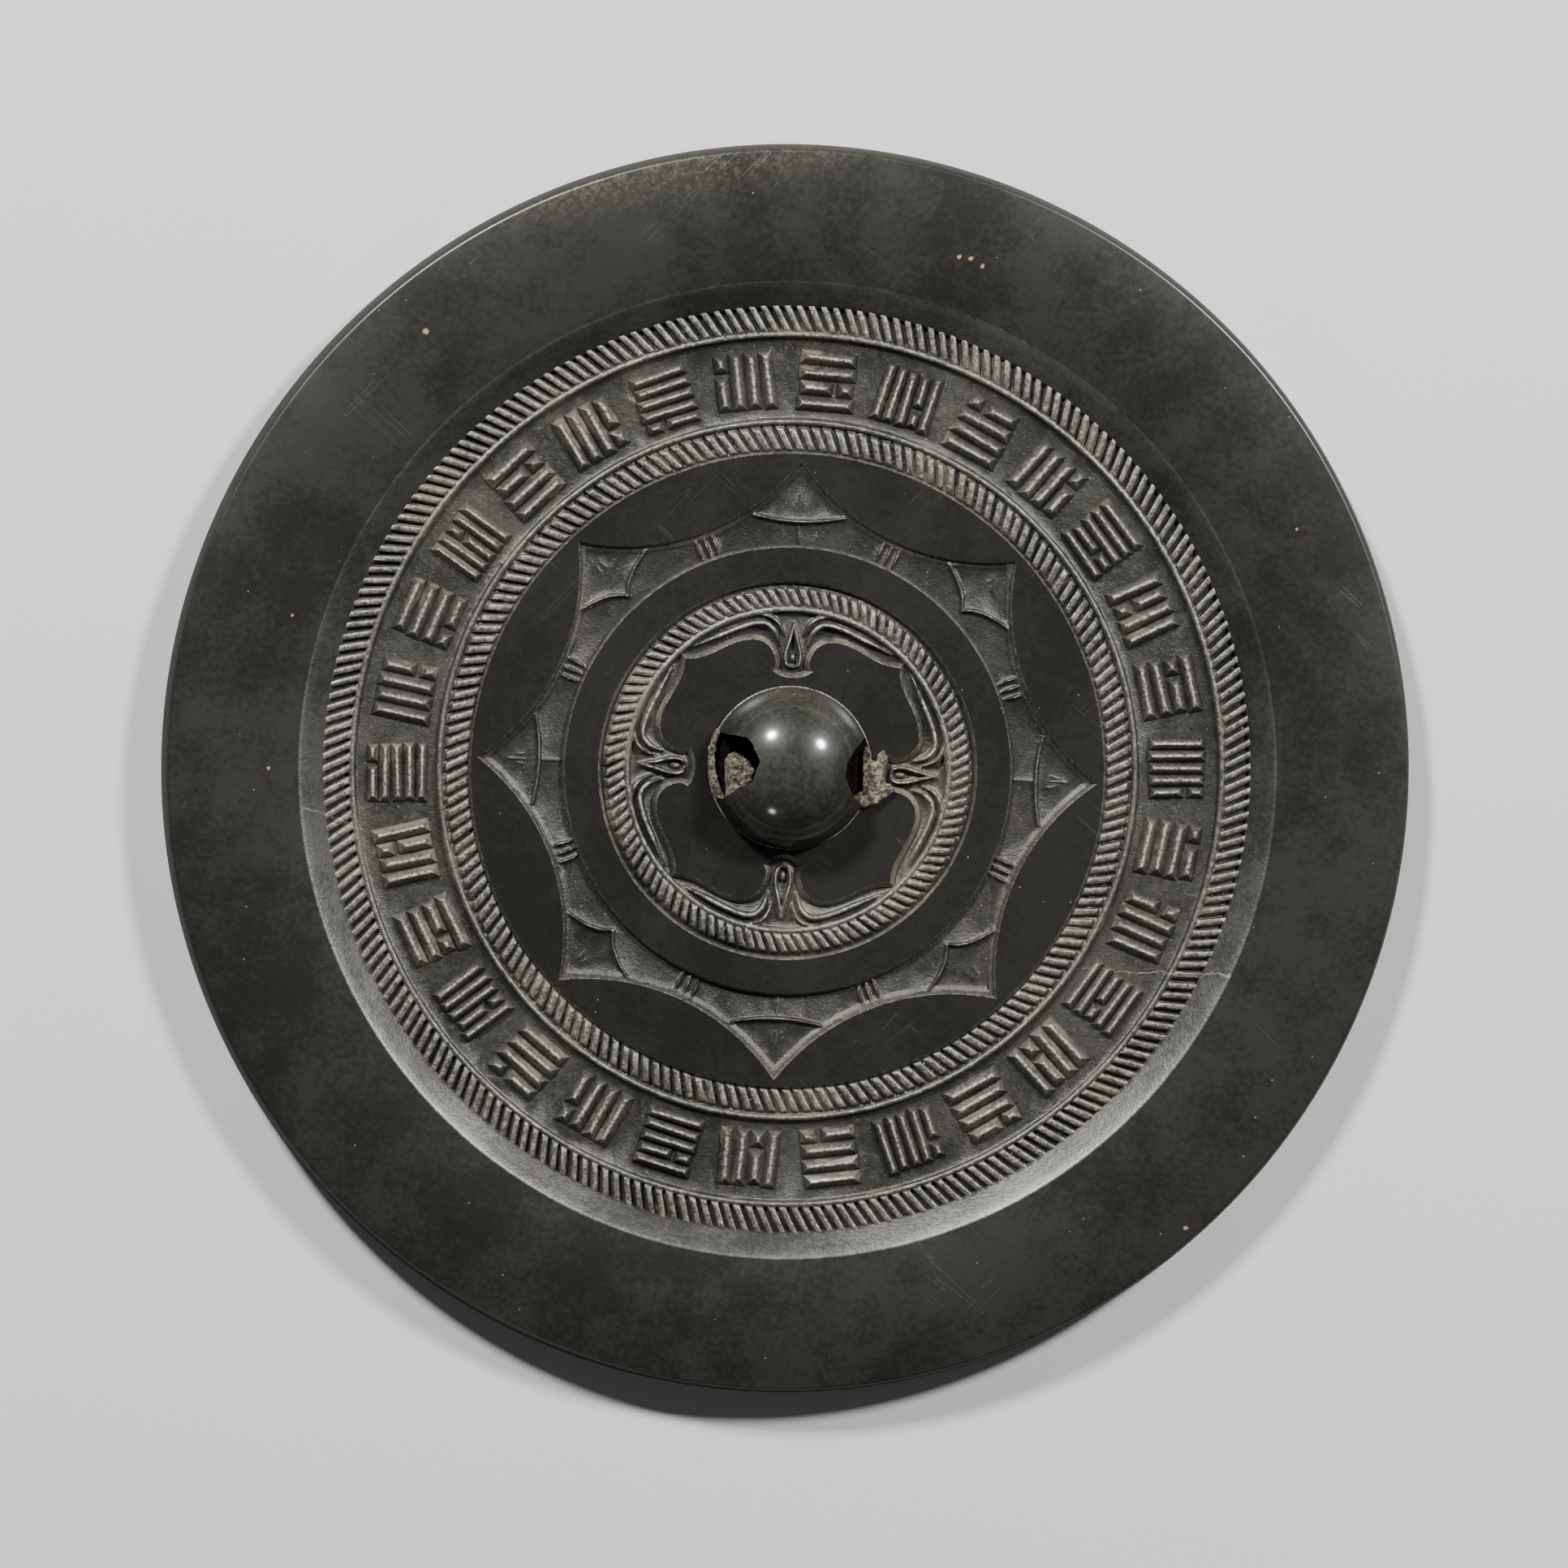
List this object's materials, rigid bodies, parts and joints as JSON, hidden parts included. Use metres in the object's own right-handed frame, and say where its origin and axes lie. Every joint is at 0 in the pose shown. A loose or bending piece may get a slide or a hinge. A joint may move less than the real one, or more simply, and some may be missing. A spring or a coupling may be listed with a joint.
{
  "type": "bronze mirror",
  "caption": "Flat round cast bronze mirror lying face down, its back with a wide plain rim, toothed rings, stroke band, linked arcs, leaf scrolls and a pierced domed knob.",
  "frame": {"origin": "centre of the polished face, which the mirror lies on", "axes": "+Z out of the decorated back through the knob, +X along the knob's cord hole, +Y across it"},
  "size_m": [0.1548, 0.1548, 0.012],
  "materials": {
    "bronze": "dark olive-black patina, polished flats"
  },
  "bodies": {
    "root": {"mirror": "bronze"}
  },
  "joints": []
}
